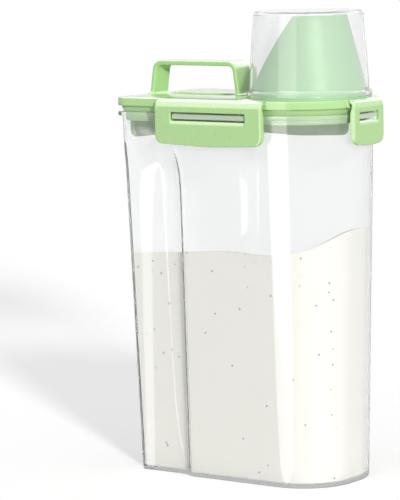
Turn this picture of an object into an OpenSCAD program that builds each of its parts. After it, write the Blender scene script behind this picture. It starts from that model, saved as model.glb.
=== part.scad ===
// Laundry powder container with a clip-on lid, pouring spout and measuring cup.
// Millimetres. X runs from the grip end to the spout end, the front long side faces -Y,
// Z is up and the origin is the middle of the base.

/* [Rim outline] */
// Length of the lid plate and of the tub's rim, grip end to spout end
rim_length = 150; // [146:1:170]
// Width of the lid plate and of the tub's rim
rim_width = 90; // [84:1:100]
// Corner radius of the rim at the grip end
rim_grip_corner = 10; // [6:1:14]
// Corner radius of the rim at the spout end
rim_spout_corner = 41; // [34:1:42]

/* [Tub] */
// Height of the tub, base to the top of its rim
tub_height = 219.5; // [180:0.5:260]
// Lean of the tub's walls from upright, in degrees
draft_angle = 1.48; // [0.8:0.02:2]
// Wall thickness
wall = 1.8; // [1.2:0.1:2.4]
// Floor thickness
floor_thickness = 2.5; // [1.5:0.1:4]
// Thickness of the rim flange
rim_thickness = 2.5; // [2:0.1:4]
// How far the rim flange stands out from the wall below it
rim_overhang = 2.5; // [1.5:0.1:4]
// Corner radius of the base at the grip end
base_grip_corner = 8; // [5:0.5:10]
// Corner radius of the base at the spout end
base_spout_corner = 31; // [26:0.5:34]
// Rounding of the base edge
base_edge = 1.4; // [0.6:0.1:2.4]

/* [Hand grip] */
// How deep the hand grip is set into each long side
grip_depth = 4.3; // [2:0.1:7]
// Length of the grip's flat, from the grip end of the rim
grip_length = 42; // [34:1:48]
// Distance from the top of the rim down to the grip's flat
grip_below_rim = 27.5; // [24:0.5:60]
// Corner radius of the grip's flat
grip_corner = 8; // [5:0.5:14]
// How far the grip's sloping step runs out for each millimetre of depth
grip_step_slope = 1.6; // [0.8:0.1:2.4]

/* [Powder] */
// Level of the powder over its flat part
powder_level = 134.5; // [60:0.5:160]
// Height that the powder rises towards the spout end
powder_rise = 13; // [0:0.5:20]
// Length of the rise
powder_rise_length = 37; // [28:1:46]
// Distance from the top of the rise to the spout end of the rim
powder_rise_from_end = 13; // [8:1:18]
// Depth of the dip before the rise
powder_dip = 3.2; // [0:0.1:5]
// Distance from the middle of the dip to the foot of the rise
powder_dip_from_rise = 17; // [12:1:24]
// Direction in which the powder rises, turned from the length towards the back, in degrees
powder_turn = 33.5; // [0:0.5:45]
// Fall of the powder's top across that direction, towards the back, in degrees
powder_fall = 7.2; // [0:0.2:9]
// Clearance between the powder and the tub's wall
powder_gap = 0.3; // [0.2:0.05:0.6]

/* [Lid] */
// Thickness of the lid plate at its edge
plate_thickness = 5; // [4:0.1:7]
// Height of the set-back band between the plate and the rim
band_height = 3.5; // [2.5:0.1:5]
// How far the band is set back from the plate's edge
band_inset = 2.4; // [1.5:0.1:4]
// How far the plug reaches down into the tub
plug_depth = 5.5; // [5:0.1:8]
// Clearance between the plug and the tub's wall at the rim
plug_gap = 0.5; // [0.4:0.05:0.8]
// Wall thickness of the plug
plug_wall = 3; // [2.6:0.1:4]
// Thickness of the lid's top skin
skin = 2.4; // [1.8:0.1:3]

/* [Lid seal] */
// Height of the seal ring
seal_height = 2.4; // [1.6:0.1:3]
// How deep the seal sits in the plug
seal_seat = 1.3; // [0.8:0.1:1.8]
// Clearance between the seal and the tub's wall
seal_gap = 0.2; // [0.15:0.05:0.3]

/* [Handle] */
// Distance from the grip end of the lid to the handle's outer foot
handle_from_end = 1; // [0.5:0.5:8]
// Length of the handle over its feet
handle_length = 66.5; // [58:0.5:68]
// Height of the handle above the lid
handle_height = 20.3; // [16:0.1:26]
// Width of the handle's band
handle_width = 15; // [10:0.5:20]
// Thickness of the handle's band
handle_thickness = 2.9; // [2.2:0.1:4]
// How far each leg leans in from its foot to the top
handle_lean = 2.9; // [0:0.1:5]
// Outer corner radius of the handle
handle_corner = 6.5; // [4.5:0.1:9]
// Depth of the finger recess below the handle
finger_recess_depth = 0.8; // [0.4:0.1:1.4]
// Width of the finger recess
finger_recess_width = 17; // [12:0.5:24]
// Distance between a foot of the handle and the finger recess
finger_recess_gap = 4; // [3:0.5:8]

/* [Spout] */
// Distance from the spout end of the lid to the spout's axis
spout_from_end = 37.5; // [37.5:0.1:39]
// Outer radius of the spout's foot
spout_foot_radius = 33.6; // [32:0.1:33.6]
// Outer radius of the spout's top
spout_top_radius = 22.6; // [16:0.1:28]
// Height of the spout above the lid
spout_height = 48.6; // [36:0.1:48.6]
// Height of the spout's upright foot
spout_foot_height = 6; // [4:0.1:9]
// Wall thickness of the spout
spout_wall = 1.6; // [1.2:0.1:2.2]
// Where the slanted mouth meets the spout's foot, from the spout's axis towards the grip end
mouth_low_x = 22.9; // [18:0.1:26]
// Where the slanted mouth meets the spout's top, from the spout's axis towards the spout end
mouth_high_x = 4.35; // [0:0.05:10]
// Thickness of the spout's flange on the lid
spout_flange = 0.8; // [0.6:0.1:1.4]
// Radial clearance between the spout's foot and the ring it is pressed on
spout_fit = 0.05; // [0.02:0.01:0.1]

/* [Measuring cup] */
// Height of the measuring cup
cup_height = 49.8; // [49.8:0.1:60]
// Radius of the cup's mouth flange
cup_flange_radius = 37; // [36.5:0.1:37.5]
// Height of the cup's mouth flange
cup_flange_height = 3; // [2:0.1:5]
// Outer radius of the cup's wall just above the flange
cup_mouth_radius = 35.5; // [35.4:0.1:36.2]
// Outer radius of the cup's wall at its floor
cup_floor_radius = 32.4; // [30:0.1:34]
// Wall thickness of the cup
cup_wall = 1.4; // [1:0.1:1.4]
// Rounding of the cup's floor edge
cup_edge = 2.2; // [1.6:0.1:4]
// Clearance under the cup's mouth, over the spout's flange
cup_gap = 0.3; // [0.2:0.05:0.5]
// Height of a raised graduation line
mark_height = 0.7; // [0.4:0.1:1.2]
// How far a graduation line stands out
mark_relief = 0.25; // [0.1:0.05:0.4]
// Length of a graduation line
mark_length = 5; // [3:0.5:8]

/* [Latches] */
// Length of the latches on the long sides
long_latch_length = 76; // [60:1:84]
// Where the middle of the long latches lies, from the middle of the lid
long_latch_x = -2; // [-6:0.5:2]
// Length of the latch on the spout end
end_latch_length = 31.5; // [26:0.5:36]
// Length of the latch on the grip end
grip_latch_length = 44; // [30:0.5:56]
// Height of a latch, below the lid's top, at its middle
latch_drop = 27.4; // [24:0.1:32]
// How far a latch's lower edge rises from its middle to its ends
latch_bow = 1.3; // [0:0.1:2]
// How far a latch's face stands out from the plate's edge
latch_reach = 4.3; // [4:0.1:6]
// Thickness of a latch's face
latch_thickness = 1.9; // [1.5:0.1:2.4]
// Lower corner radius of a latch
latch_corner = 5; // [3:0.5:7]
// Solid length left at each end of a latch beside its window
window_margin = 11.2; // [8:0.1:12]
// Solid length left beside the window of an end latch
end_window_margin = 5.2; // [4:0.1:6]
// Top of a latch's window, below the lid's top
window_top = 7.5; // [7:0.1:8]
// Height of a latch's window
window_height = 5.1; // [5:0.1:6]
// Radius of the bead that a latch turns on
bead_radius = 0.55; // [0.5:0.05:0.6]
// Clearance round the bead in the lid's groove
bead_gap = 0.5; // [0.4:0.05:0.6]
// Clearance between a rim tab and the long edges of its window
tab_gap = 0.7; // [0.5:0.05:1]
// Clearance between a rim tab and the ends of its window
tab_end_gap = 1.3; // [1:0.1:1.6]

/* [Hidden] */
$fn = 96;
edge_fn = 32;
sliver = 0.01;
past = 5;
root = 0.2;

clear_colour = [0.86, 0.9, 0.93, 0.4];
green = [0.67, 0.83, 0.56];
powder_colour = [0.94, 0.94, 0.9];
seal_colour = [0.9, 0.93, 0.88];

// Heights
rim_underside = tub_height - rim_thickness;
plate_underside = tub_height + band_height;
lid_top = plate_underside + plate_thickness;
plug_bottom = tub_height - plug_depth;
cup_bottom = lid_top + spout_flange + cup_gap;
grip_top = tub_height - grip_below_rim;

// Places along the length
spout_x = rim_length / 2 - spout_from_end;
grip_edge = -rim_length / 2 + grip_length;
handle_foot = -rim_length / 2 + handle_from_end;
powder_rise_start = rim_length / 2 - powder_rise_from_end - powder_rise_length;
powder_dip_middle = powder_rise_start - powder_dip_from_rise;
powder_dip_reach = 30;

// The tub's outer wall just under the rim
neck_length = rim_length - 2 * rim_overhang;
neck_width = rim_width - 2 * rim_overhang;
neck_grip_corner = rim_grip_corner - rim_overhang;
neck_spout_corner = rim_spout_corner - rim_overhang;
lean = rim_underside * tan(draft_angle);
grip_spread = sqrt(1 + grip_step_slope * grip_step_slope) - grip_step_slope;

// The latch's bead, outwards from the plate's edge and down from the lid's top
bead_out = 0.5;
bead_below_top = 0.2;
bead_drop = bead_radius + bead_below_top;
hinge_land = 1.2;

// The latch's section: its sloping top, its face and the return at each end
shoulder_in = 1.2;
shoulder_drop = 1.4;
face_top = 4.4;
face_root = 5.2;
shoulder_round = 0.8;
face_top_round = 0.6;
return_wall = 1.6;
return_in = 0.8;
return_set_in = 0.3;
return_slope_drop = 8;

// The plug's lip below the seal, and the play of the seal in its seat
plug_lip = 1;
seal_play = 0.05;

// Turns one corner of an outline into an arc
function unit(v) = v / norm(v);
function corner_arc(a, b, c, radius, steps) =
    let (u = unit(a - b), v = unit(c - b), half = acos(u * v) / 2,
         centre = b + unit(u + v) * radius / sin(half),
         first = b + u * radius / tan(half) - centre,
         last = b + v * radius / tan(half) - centre,
         from = atan2(first[1], first[0]),
         turn = atan2(last[1], last[0]) - from,
         sweep = turn > 180 ? turn - 360 : turn < -180 ? turn + 360 : turn)
    [for (i = [0:steps]) centre + radius * [cos(from + sweep * i / steps), sin(from + sweep * i / steps)]];

// An outline whose corners carry the radii given beside them, with 0 for a sharp corner
function rounded(points, radii, steps = 8) =
    let (count = len(points))
    [for (i = [0:count - 1])
        for (p = radii[i] > 0
                ? corner_arc(points[(i + count - 1) % count], points[i], points[(i + 1) % count],
                             radii[i], steps)
                : [points[i]]) p];

// Plan outline with tight corners at the grip end and wide ones at the spout end
module plan(length, width, grip_r, spout_r) {
    for (side = [-1, 1]) {
        translate([-length / 2 + grip_r, side * (width / 2 - grip_r)]) circle(grip_r);
        translate([length / 2 - spout_r, side * (width / 2 - spout_r)]) circle(spout_r);
    }
    translate([-length / 2 + grip_r, -width / 2]) square([length - grip_r - spout_r, width]);
    translate([-length / 2, -width / 2 + grip_r]) square([length / 2, width - 2 * grip_r]);
    translate([0, -width / 2 + spout_r]) square([length / 2, width - 2 * spout_r]);
}

// The rim's own outline, drawn in by an inset
module rim_plan(inset = 0) {
    plan(rim_length - 2 * inset, rim_width - 2 * inset,
         rim_grip_corner - inset, rim_spout_corner - inset);
}

// A thin slice of the tub's drafted form at a height, drawn in by an inset
module tub_slice(height, inset) {
    share = height / rim_underside;
    back = lean * (1 - share) + inset;
    least_corner = 0.6;
    translate([0, 0, height]) linear_extrude(sliver)
        plan(neck_length - 2 * back, neck_width - 2 * back,
             max(least_corner, base_grip_corner + (neck_grip_corner - base_grip_corner) * share - inset),
             base_spout_corner + (neck_spout_corner - base_spout_corner) * share - inset);
}

// The tub's drafted form between two heights, with its lower edge rounded
module tub_form(from, to, inset, edge) {
    middle = edge * (1 - cos(45));
    hull() {
        tub_slice(from, inset + edge);
        tub_slice(from + middle, inset + middle);
        tub_slice(from + edge, inset);
        tub_slice(to - sliver, inset);
    }
}

// What the hand grip takes out of both long sides, grown inwards by the wall where asked
module grip_cut(grow) {
    reach = grip_depth + past;
    radius = grip_corner + grow * grip_spread;
    for (side = [0, 1]) mirror([0, side, 0]) hull()
        for (x = [grip_edge - grip_corner, -rim_length])
            for (z = [grip_top - grip_corner, -4 * grip_corner])
                translate([x, -(neck_width / 2 - lean * (1 - z / rim_underside)) + grip_depth + grow, z])
                    rotate([90, 0, 0])
                        cylinder(h = reach + grow, r1 = radius,
                                 r2 = radius + grip_step_slope * (reach + grow), $fn = edge_fn);
}

// The tub's hollow, drawn in by an inset, from a height up
module hollow(from, inset, to) {
    difference() {
        tub_form(from, to, wall + inset, base_edge);
        grip_cut(wall + inset);
    }
}

// Places a piece at the middle of each side's plate edge, turned to face outwards
module at_front() { translate([long_latch_x, -rim_width / 2, lid_top]) children(); }
module at_back() { translate([long_latch_x, rim_width / 2, lid_top]) rotate(180) children(); }
module at_spout_end() { translate([rim_length / 2, 0, lid_top]) rotate(90) children(); }
module at_grip_end() { translate([-rim_length / 2, 0, lid_top]) rotate(-90) children(); }

// Extrudes a profile drawn as (outwards, up) along the plate's edge
module along_edge(length) {
    rotate([90, 0, -90]) linear_extrude(length, center = true) children();
}

// Straight land on the curved end, so that a latch has a straight edge to hang on
module end_land(length) {
    translate([rim_length / 2 - past, -length / 2]) square([past, length]);
}

// Clear tab on the rim that a latch's window closes over
module rim_tab(window_length) {
    below_edge = 0.4;
    top = window_top + tab_gap + below_edge;
    bottom = window_top + window_height - tab_gap;
    face = latch_reach - 1.1;
    chamfer = 0.5;
    along_edge(window_length - 2 * tab_end_gap)
        polygon([[-wall, -top], [face, -top], [face, -bottom + chamfer], [0, -bottom], [-wall, -bottom]]);
}

module tub() {
    color(clear_colour) difference() {
        union() {
            difference() {
                tub_form(0, tub_height, 0, base_edge);
                grip_cut(0);
            }
            translate([0, 0, rim_underside]) linear_extrude(rim_thickness) {
                rim_plan();
                end_land(end_latch_length - 2 * end_window_margin);
            }
            at_front() rim_tab(long_latch_length - 2 * window_margin);
            at_back() rim_tab(long_latch_length - 2 * window_margin);
            at_spout_end() rim_tab(end_latch_length - 2 * end_window_margin);
            at_grip_end() rim_tab(grip_latch_length - 2 * end_window_margin);
        }
        hollow(floor_thickness, 0, tub_height + past);
    }
}

// Top of the powder above its level, along the direction in which it rises: a shallow dip, then a
// slope that eases in and out
function eased(share) = let (s = min(1, max(0, share))) s * s * (3 - 2 * s);
function powder_top(along) =
    powder_rise * eased((along - powder_rise_start) / powder_rise_length)
    - powder_dip * (1 - eased(abs(along - powder_dip_middle) / powder_dip_reach));

module powder() {
    reach = (rim_length + rim_width) / 2;
    steps = 48;
    color(powder_colour) intersection() {
        hollow(floor_thickness, powder_gap, tub_height);
        translate([0, 0, powder_level]) rotate([-powder_fall, 0, powder_turn])
            rotate([90, 0, 0]) linear_extrude(2 * reach, center = true)
                polygon(concat([[reach, -tub_height], [-reach, -tub_height]],
                               [for (i = [0:steps]) let (along = reach * (2 * i / steps - 1))
                                   [along, powder_top(along)]]));
    }
}

module handle() {
    left = handle_foot;
    right = left + handle_length;
    inner_corner = handle_corner - handle_thickness;
    sunk = 1;
    sunk_lean = handle_lean * sunk / handle_height;
    translate([0, 0, lid_top]) rotate([90, 0, 0]) linear_extrude(handle_width, center = true)
        difference() {
            polygon(rounded([[left - sunk_lean, -sunk], [right + sunk_lean, -sunk],
                             [right - handle_lean, handle_height], [left + handle_lean, handle_height]],
                            [0, 0, handle_corner, handle_corner]));
            polygon(rounded([[left + handle_thickness - 2 * sunk_lean, -2 * sunk],
                             [right - handle_thickness + 2 * sunk_lean, -2 * sunk],
                             [right - handle_thickness - handle_lean, handle_height - handle_thickness],
                             [left + handle_thickness + handle_lean, handle_height - handle_thickness]],
                            [0, 0, inner_corner, inner_corner]));
        }
}

module finger_recess() {
    left = handle_foot + handle_thickness + finger_recess_gap;
    length = handle_length - 2 * (handle_thickness + finger_recess_gap);
    half = finger_recess_width / 2;
    corner = 4;
    translate([left, 0, lid_top - finger_recess_depth]) linear_extrude(past)
        polygon(rounded([[0, -half], [length, -half], [length, half], [0, half]],
                        [corner, corner, corner, corner]));
}

// Round groove in the plate's edge that a latch's bead turns in
module bead_groove(latch_length) {
    translate([0, -bead_out, -bead_drop]) rotate([0, 90, 0])
        cylinder(h = latch_length + 2 * hinge_land, r = bead_radius + bead_gap, center = true);
}

module lid() {
    plug_inset = rim_overhang + wall + plug_gap;
    ring_radius = spout_foot_radius - spout_wall - spout_fit;
    ring_top = lid_top + spout_foot_height - 1;
    color(green) difference() {
        union() {
            translate([0, 0, plate_underside]) linear_extrude(plate_thickness) {
                rim_plan();
                end_land(end_latch_length);
            }
            translate([0, 0, tub_height]) linear_extrude(band_height) rim_plan(band_inset);
            translate([0, 0, plug_bottom]) linear_extrude(plug_depth) rim_plan(plug_inset);
            handle();
            translate([spout_x, 0, plug_bottom])
                cylinder(h = ring_top - plug_bottom, r = ring_radius);
        }
        difference() {
            translate([0, 0, plug_bottom - past]) linear_extrude(lid_top - skin - plug_bottom + past)
                rim_plan(plug_inset + plug_wall);
            translate([spout_x, 0, plug_bottom - past])
                cylinder(h = lid_top, r = ring_radius);
        }
        translate([spout_x, 0, plug_bottom - past])
            cylinder(h = lid_top, r = ring_radius - spout_wall);
        seal_ring(plug_bottom + plug_lip - seal_play, seal_height + 2 * seal_play, rim_overhang);
        finger_recess();
        at_front() bead_groove(long_latch_length);
        at_back() bead_groove(long_latch_length);
        at_spout_end() bead_groove(end_latch_length);
        at_grip_end() bead_groove(grip_latch_length);
    }
}

// Ring round the plug between a height and its own height, out to an inset from the rim
module seal_ring(bottom, height, outer_inset) {
    translate([0, 0, bottom]) linear_extrude(height) difference() {
        rim_plan(outer_inset);
        rim_plan(rim_overhang + wall + plug_gap + seal_seat);
    }
}

module lid_seal() {
    bottom = plug_bottom + plug_lip;
    drawn_in = (rim_underside - bottom) * tan(draft_angle);
    color(seal_colour)
        seal_ring(bottom, seal_height, rim_overhang + wall + seal_gap + max(0, drawn_in));
}

module spout() {
    inner_foot = spout_foot_radius - spout_wall;
    color(green) translate([spout_x, 0, lid_top]) difference() {
        rotate_extrude()
            polygon([[inner_foot, 0], [cup_flange_radius, 0], [cup_flange_radius, spout_flange],
                     [spout_foot_radius, spout_flange], [spout_foot_radius, spout_foot_height],
                     [spout_top_radius, spout_height], [spout_top_radius - spout_wall, spout_height],
                     [inner_foot, spout_foot_height]]);
        rotate([90, 0, 0]) linear_extrude(2 * cup_flange_radius, center = true)
            polygon([[-2 * cup_flange_radius, spout_foot_height], [-mouth_low_x, spout_foot_height],
                     [mouth_high_x, spout_height], [mouth_high_x, 2 * spout_height],
                     [-2 * cup_flange_radius, 2 * spout_height]]);
    }
}

// Heights of the graduation lines above the lid's top, with the length of each beside it
marks = [[43.2, 1], [33.8, 1], [23.9, 1], [15.6, 1], [11.6, 1.5]];
marks_turn = -64;

module measuring_cup() {
    lower = cup_flange_height + 0.3;
    taper = (cup_mouth_radius - cup_floor_radius) / (cup_height - lower);
    inner_edge = cup_edge - cup_wall;
    inner_mouth = cup_mouth_radius - cup_wall;
    rim_round = 0.5;
    top_round = 0.8;
    color(clear_colour) translate([spout_x, 0, cup_bottom]) {
        rotate_extrude() difference() {
            polygon(rounded([[0, 0], [cup_flange_radius, 0], [cup_flange_radius, cup_flange_height],
                             [cup_mouth_radius, lower], [cup_floor_radius, cup_height], [0, cup_height]],
                            [0, rim_round, top_round, rim_round, cup_edge, 0]));
            polygon(rounded([[-past, -past], [inner_mouth + root, -past], [inner_mouth, lower],
                             [cup_floor_radius - cup_wall, cup_height - cup_wall],
                             [-past, cup_height - cup_wall]],
                            [0, 0, 0, inner_edge, 0]));
        }
        for (mark = marks) {
            height = mark[0] - spout_flange - cup_gap;
            radius = cup_mouth_radius - taper * (height - lower);
            turn = mark_length * mark[1] / radius * 180 / PI;
            rotate(marks_turn) rotate_extrude(angle = turn)
                translate([radius - root, height - mark_height / 2])
                    square([root + mark_relief, mark_height]);
        }
    }
}

// Section of a latch: bead, sloping top and upright face, drawn as (outwards, up)
module latch_section() {
    inner = latch_reach - latch_thickness;
    translate([bead_out, -bead_drop]) circle(bead_radius);
    polygon(rounded([[bead_out, -bead_drop + bead_radius], [latch_reach - shoulder_in, -shoulder_drop],
                     [latch_reach, -face_top], [latch_reach, -latch_drop - past],
                     [inner, -latch_drop - past], [inner, -face_root], [bead_out, -bead_drop - bead_radius]],
                    [0, shoulder_round, face_top_round, 0, 0, shoulder_round, 0]));
}

// Stiffening return at an end of a latch, drawn as (outwards, up)
module return_section() {
    outer = latch_reach - return_set_in;
    polygon([[outer - 1, -face_top], [return_in, -return_slope_drop], [return_in, -latch_drop + 3],
             [return_in + 1, -latch_drop - past], [outer, -latch_drop - past], [outer, -face_top]]);
}

// Face of a latch seen from outside, with round lower corners and a bowed lower edge
module latch_face(length) {
    half = length / 2;
    side_drop = latch_drop - latch_bow;
    apex_drop = latch_drop + 0.15 * latch_bow;
    bow_radius = 2.5 * length;
    top_corner = 0.6;
    polygon(rounded([[-half, 0], [half, 0], [half, -side_drop], [0, -apex_drop], [-half, -side_drop]],
                    [top_corner, top_corner, latch_corner, bow_radius, latch_corner]));
}

module latch(length, margin) {
    window = length - 2 * margin;
    low = -window_top - window_height;
    corner = 1;
    sill_in = 1.2;
    sill_drop = 2.2;
    difference() {
        intersection() {
            union() {
                along_edge(length) latch_section();
                for (side = [-1, 1]) translate([side * (length / 2 - return_wall / 2), 0, 0])
                    along_edge(return_wall) return_section();
            }
            rotate([90, 0, 0]) linear_extrude(4 * latch_reach, center = true) latch_face(length);
        }
        rotate([90, 0, 0]) linear_extrude(4 * latch_reach)
            polygon(rounded([[-window / 2, low], [window / 2, low], [window / 2, -window_top],
                             [-window / 2, -window_top]],
                            [corner, corner, corner, corner], 4));
        along_edge(window - 2 * corner)
            polygon([[latch_reach - sill_in, low + sliver], [latch_reach + 1, low - sill_drop + sliver],
                     [latch_reach + 1, low + 1]]);
    }
}

module latch_front() { color(green) at_front() latch(long_latch_length, window_margin); }
module latch_back() { color(green) at_back() latch(long_latch_length, window_margin); }
module latch_spout_end() { color(green) at_spout_end() latch(end_latch_length, end_window_margin); }
module latch_grip_end() { color(green) at_grip_end() latch(grip_latch_length, end_window_margin); }

tub();
powder();
lid();
lid_seal();
spout();
measuring_cup();
latch_front();
latch_back();
latch_spout_end();
latch_grip_end();
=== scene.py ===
from math import cos, pi, radians, sin, tan

import bmesh
import bpy
import numpy as np
from mathutils import Matrix, Quaternion, Vector, noise


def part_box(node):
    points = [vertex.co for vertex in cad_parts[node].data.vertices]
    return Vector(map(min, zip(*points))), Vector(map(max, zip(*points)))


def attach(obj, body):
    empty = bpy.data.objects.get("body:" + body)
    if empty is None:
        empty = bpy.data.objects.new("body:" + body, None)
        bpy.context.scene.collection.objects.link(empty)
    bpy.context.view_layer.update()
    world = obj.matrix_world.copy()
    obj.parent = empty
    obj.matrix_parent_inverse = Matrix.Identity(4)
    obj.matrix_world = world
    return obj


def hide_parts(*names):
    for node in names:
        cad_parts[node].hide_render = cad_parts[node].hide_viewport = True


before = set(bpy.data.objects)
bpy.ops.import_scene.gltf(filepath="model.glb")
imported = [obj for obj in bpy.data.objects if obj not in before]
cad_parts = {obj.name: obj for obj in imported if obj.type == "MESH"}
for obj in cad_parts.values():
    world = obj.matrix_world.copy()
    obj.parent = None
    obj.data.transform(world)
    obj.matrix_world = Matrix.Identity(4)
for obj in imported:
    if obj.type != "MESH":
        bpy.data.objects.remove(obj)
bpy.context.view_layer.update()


# Viewpoint. The camera stands a little above the lid, to the right of the front and a long way off,
# so that the tub's upright edges stay almost parallel. The lens suits an upright 4:5 picture.
aim = Vector((-0.0439, 0.0, 0.1325))
camera_distance = 1.7
camera_turn = radians(35.81)
camera_rise = radians(6.84)
camera_roll = radians(-1.02)

camera_data = bpy.data.cameras.new("viewpoint")
camera_data.sensor_fit = "VERTICAL"
camera_data.sensor_height = 24
camera_data.lens = 133.73
camera = bpy.data.objects.new("viewpoint", camera_data)
away = Vector((cos(camera_rise) * sin(camera_turn), -cos(camera_rise) * cos(camera_turn), sin(camera_rise)))
camera.location = aim + camera_distance * away
camera.rotation_mode = "QUATERNION"
camera.rotation_quaternion = away.to_track_quat("Z", "Y") @ Quaternion((0, 0, 1), camera_roll)
bpy.context.scene.collection.objects.link(camera)
bpy.context.scene.camera = camera


# Tub: one injection moulding in clear, polished plastic, with a drafted wall, a rim flange that the
# lid sits on, and a shallow hand grip set into both long sides at the flat end. The wall has its
# real thickness, so that it bends light as the real one does.
lid_low, lid_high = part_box("lid")
tub_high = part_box("tub")[1]
latch_low, latch_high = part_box("latch_front")
cup_low, cup_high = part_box("measuring_cup")
rim_half_length = lid_high.x
rim_half_width = lid_high.y
rim_top = tub_high.z
rim_thickness = 0.0025
rim_overhang = 0.0025
rim_grip_corner = 0.010
rim_spout_corner = 0.041
rim_round = 0.0005
rim_underside = rim_top - rim_thickness
wall = 0.0018
floor_thickness = 0.0025
draft = tan(radians(1.48))
base_grip_corner = 0.008
base_spout_corner = 0.031
base_round = 0.0014
tightest_corner = 0.0006
grip_depth = 0.0043
grip_edge = -0.0333
grip_top = 0.192
grip_corner = 0.008
grip_step = 1.75 * grip_depth
grip_growth = 0.266
grip_easing = 0.37
grip_top_softness = 0.45
grip_blend = 0.0004
grip_clearance = 5 * grip_blend
step_margin = 0.0015
lid_top = cup_low.z - 0.0011
plate_thickness = 0.005
land_reach = 0.005
latch_lengths = {
    "front": latch_high.x - latch_low.x,
    "back": latch_high.x - latch_low.x,
    "spout_end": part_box("latch_spout_end")[1].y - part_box("latch_spout_end")[0].y,
    "grip_end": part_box("latch_grip_end")[1].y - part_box("latch_grip_end")[0].y,
}
end_window_margin = 0.0052
long_window_margin = 0.0112
window_top = 0.0075
window_height = 0.0051
tab_end_gap = 0.0013
tab_gap = 0.0007
tab_reach = tub_high.x - rim_half_length

# The middle of the plate's edge on each side, with the edge along X and -Y pointing outwards
long_latch_x = (latch_low.x + latch_high.x) / 2
sides = {
    "front": Matrix.Translation((long_latch_x, -rim_half_width, lid_top)),
    "back": Matrix.Translation((long_latch_x, rim_half_width, lid_top)) @ Matrix.Rotation(pi, 4, "Z"),
    "spout_end": Matrix.Translation((rim_half_length, 0, lid_top)) @ Matrix.Rotation(pi / 2, 4, "Z"),
    "grip_end": Matrix.Translation((-rim_half_length, 0, lid_top)) @ Matrix.Rotation(-pi / 2, 4, "Z"),
}


def arc(x, y, radius, start, steps):
    """Points of a quarter circle that begins at an angle in degrees."""
    turns = np.radians(start + 90 * np.arange(steps + 1) / steps)
    return np.column_stack([x + radius * np.cos(turns), y + radius * np.sin(turns)])


def plan(half_length, half_width, tight, wide):
    """Outline seen from above: tight corners at the grip end, wide ones at the spout end."""
    left, right = -half_length + tight, half_length - wide
    step_start, step_end = grip_edge - step_margin, grip_edge + grip_step + step_margin
    along = np.concatenate([np.linspace(left, step_start, 9)[:-1],
                            np.linspace(step_start, step_end, 25),
                            np.linspace(step_end, right, 11)[1:-1]])
    front = np.column_stack([along, np.full(len(along), -half_width)])
    spout_end = np.linspace(wide - half_width, half_width - wide, 5)[1:-1]
    grip_end = np.linspace(half_width - tight, tight - half_width, 15)[1:-1]
    return np.concatenate([
        front,
        arc(right, wide - half_width, wide, -90, 24),
        np.column_stack([np.full(len(spout_end), half_length), spout_end]),
        arc(right, half_width - wide, wide, 0, 24),
        front[::-1] * (1, -1),
        arc(left, half_width - tight, tight, 90, 24)[1:],
        np.column_stack([np.full(len(grip_end), -half_length), grip_end]),
        arc(left, tight - half_width, tight, 180, 24)[:-1],
    ])


def at_height(points, z):
    """Lifts an outline to a height."""
    return np.column_stack([points, np.full(len(points), z)])


def rim_ring(inset, z):
    """Outline of the rim and of the lid's plate, drawn in."""
    return at_height(plan(rim_half_length - inset, rim_half_width - inset,
                          rim_grip_corner - inset, rim_spout_corner - inset), z)


def grip_share(x, z, growth):
    """1 on the flat of the hand grip, 0 outside it, and a straight slope with eased ends between."""
    across, up = x - grip_edge + grip_corner, grip_top_softness * (z - grip_top) + grip_corner
    round_part = np.hypot(across, up) if up > 0 else across
    distance = np.where(across > 0, round_part, max(up, 0) * np.ones(len(x))) - grip_corner - growth
    share = distance / grip_step
    return 0.5 * (1 - np.hypot(share, grip_easing) + np.hypot(share - 1, grip_easing))


def wall_ring(z, inset, lift=0.0):
    """Outline of the tub's wall at a height, drawn in from its outer face, with its hand grip."""
    share = z / rim_underside
    back = rim_overhang + (rim_underside - z) * draft + inset
    top_grip_corner, top_spout_corner = rim_grip_corner - rim_overhang, rim_spout_corner - rim_overhang
    tight = max(tightest_corner, base_grip_corner + (top_grip_corner - base_grip_corner) * share - inset)
    wide = base_spout_corner + (top_spout_corner - base_spout_corner) * share - inset
    points = plan(rim_half_length - back, rim_half_width - back, tight, wide)
    share = grip_share(points[:, 0], z, inset * grip_growth)
    limit = rim_half_width - back - grip_depth * share + grip_clearance * (1 - share)
    reach = np.abs(points[:, 1])
    points[:, 1] = np.sign(points[:, 1]) * (reach + limit - np.hypot(reach - limit, grip_blend)) / 2
    return at_height(points, z + lift)


def loft(name, rings, closed=False):
    """Skins a piece over rings of points. Its ends are capped, or joined to each other if closed."""
    count, size = len(rings), len(rings[0])
    mesh = bpy.data.meshes.new(name)
    faces = []
    for k in range(count if closed else count - 1):
        here, there = k * size, (k + 1) % count * size
        faces += [(here + i, here + (i + 1) % size, there + (i + 1) % size, there + i) for i in range(size)]
    if not closed:
        faces += [tuple(range(size))[::-1], tuple(range((count - 1) * size, count * size))]
    mesh.from_pydata(np.concatenate(rings).tolist(), [], faces)
    shape = bmesh.new()
    shape.from_mesh(mesh)
    bmesh.ops.recalc_face_normals(shape, faces=shape.faces)
    shape.to_mesh(mesh)
    shape.free()
    piece = bpy.data.objects.new(name, mesh)
    bpy.context.scene.collection.objects.link(piece)
    return piece


def combine(piece, other, operation):
    """Joins a piece to another, or cuts the other out of it, and uses the other up."""
    modifier = piece.modifiers.new("combine", "BOOLEAN")
    modifier.operation = operation
    modifier.solver = "MANIFOLD"
    modifier.object = other
    bpy.context.view_layer.update()
    whole = piece.evaluated_get(bpy.context.evaluated_depsgraph_get())
    mesh = bpy.data.meshes.new_from_object(whole)
    piece.modifiers.clear()
    mesh.name = piece.data.name
    mesh.materials.clear()
    piece.data = mesh
    bpy.data.objects.remove(other)


def smooth(piece, angle=32):
    """Smooth faces, with crisp edges where the surface turns by more than an angle."""
    piece.data.shade_smooth()
    piece.data.set_sharp_from_angle(angle=radians(angle))


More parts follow.
